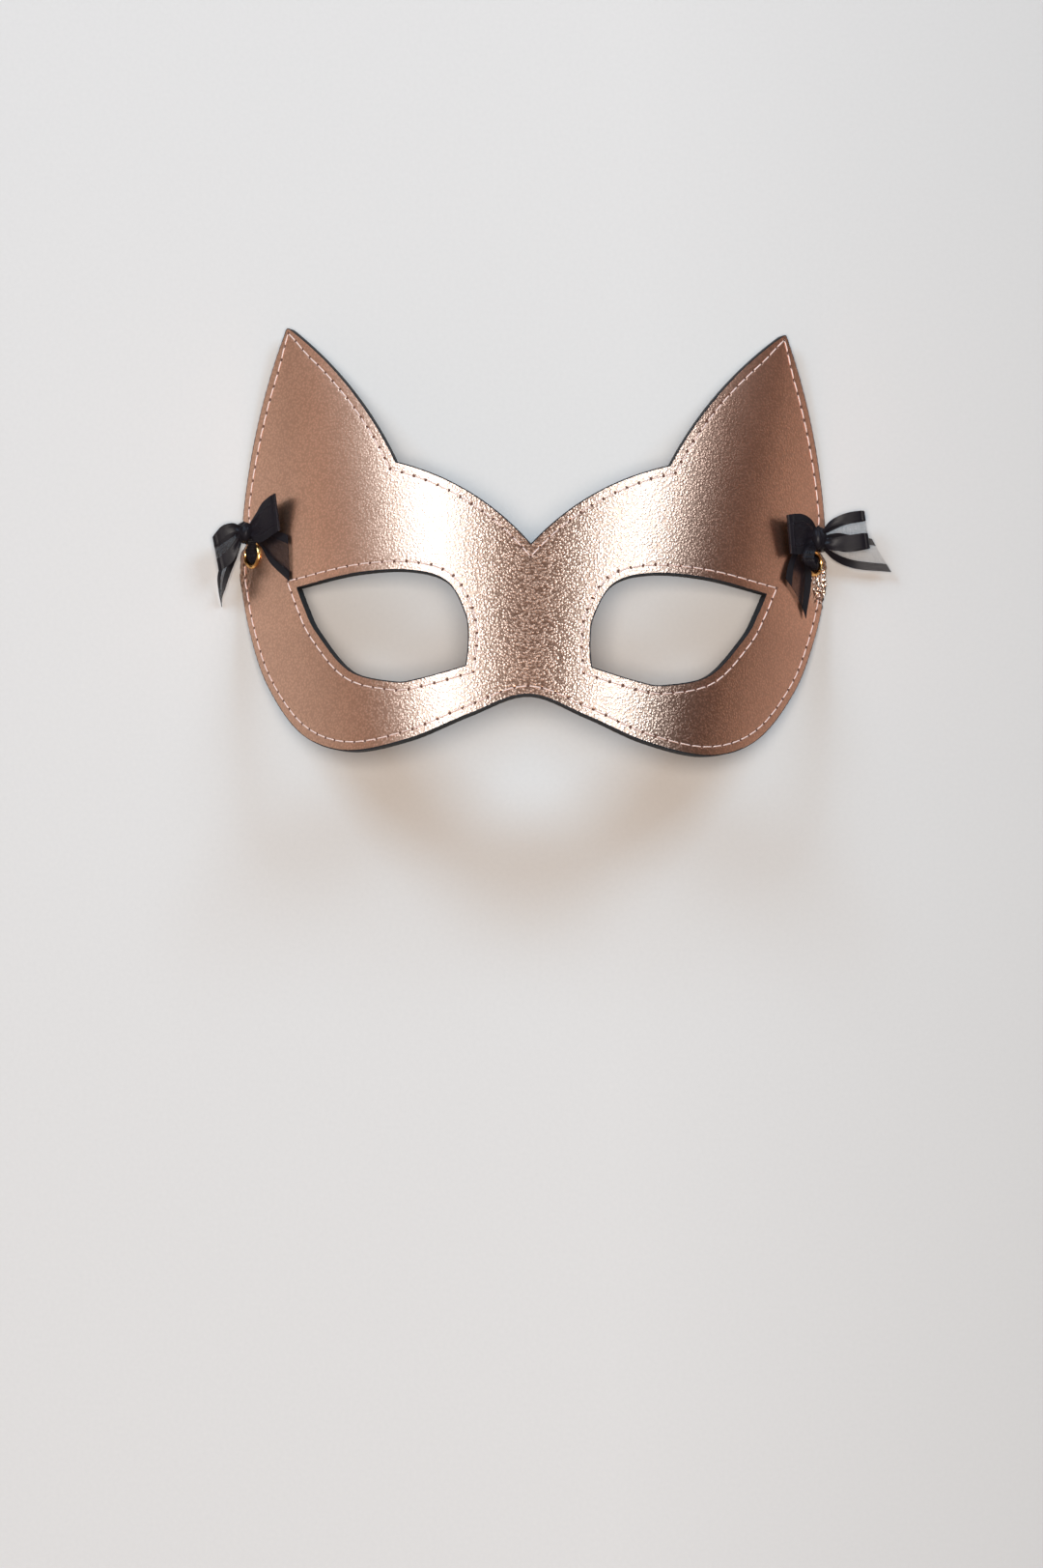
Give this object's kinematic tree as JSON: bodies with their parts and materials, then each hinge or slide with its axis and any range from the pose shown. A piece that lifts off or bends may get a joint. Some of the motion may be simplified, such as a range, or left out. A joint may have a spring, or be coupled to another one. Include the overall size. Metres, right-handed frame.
{
  "type": "leather cat mask",
  "caption": "Curved leather half mask with cat ears and almond eye openings, with brass eyelets and tied ribbon bows at the temples.",
  "frame": {"origin": "on the surface it lies on, below the middle of the bounding box", "axes": "+Z out of the face, up from the surface it lies on; +Y towards the ears; +X to the right as seen from the front"},
  "size_m": [0.1868, 0.119, 0.0591],
  "materials": {
    "metallic_leather": "metallic rose gold foil over pebbled grain",
    "black_leather": "matt black lining leather",
    "brass": "polished, lightly rubbed",
    "black_ribbon": "sheer organza with satin edges"
  },
  "bodies": {
    "root": {"face_leather": "metallic_leather", "backing_leather": "black_leather", "eyelet_left": "brass", "eyelet_right": "brass", "bow_left": "black_ribbon", "bow_right": "black_ribbon"}
  },
  "joints": []
}
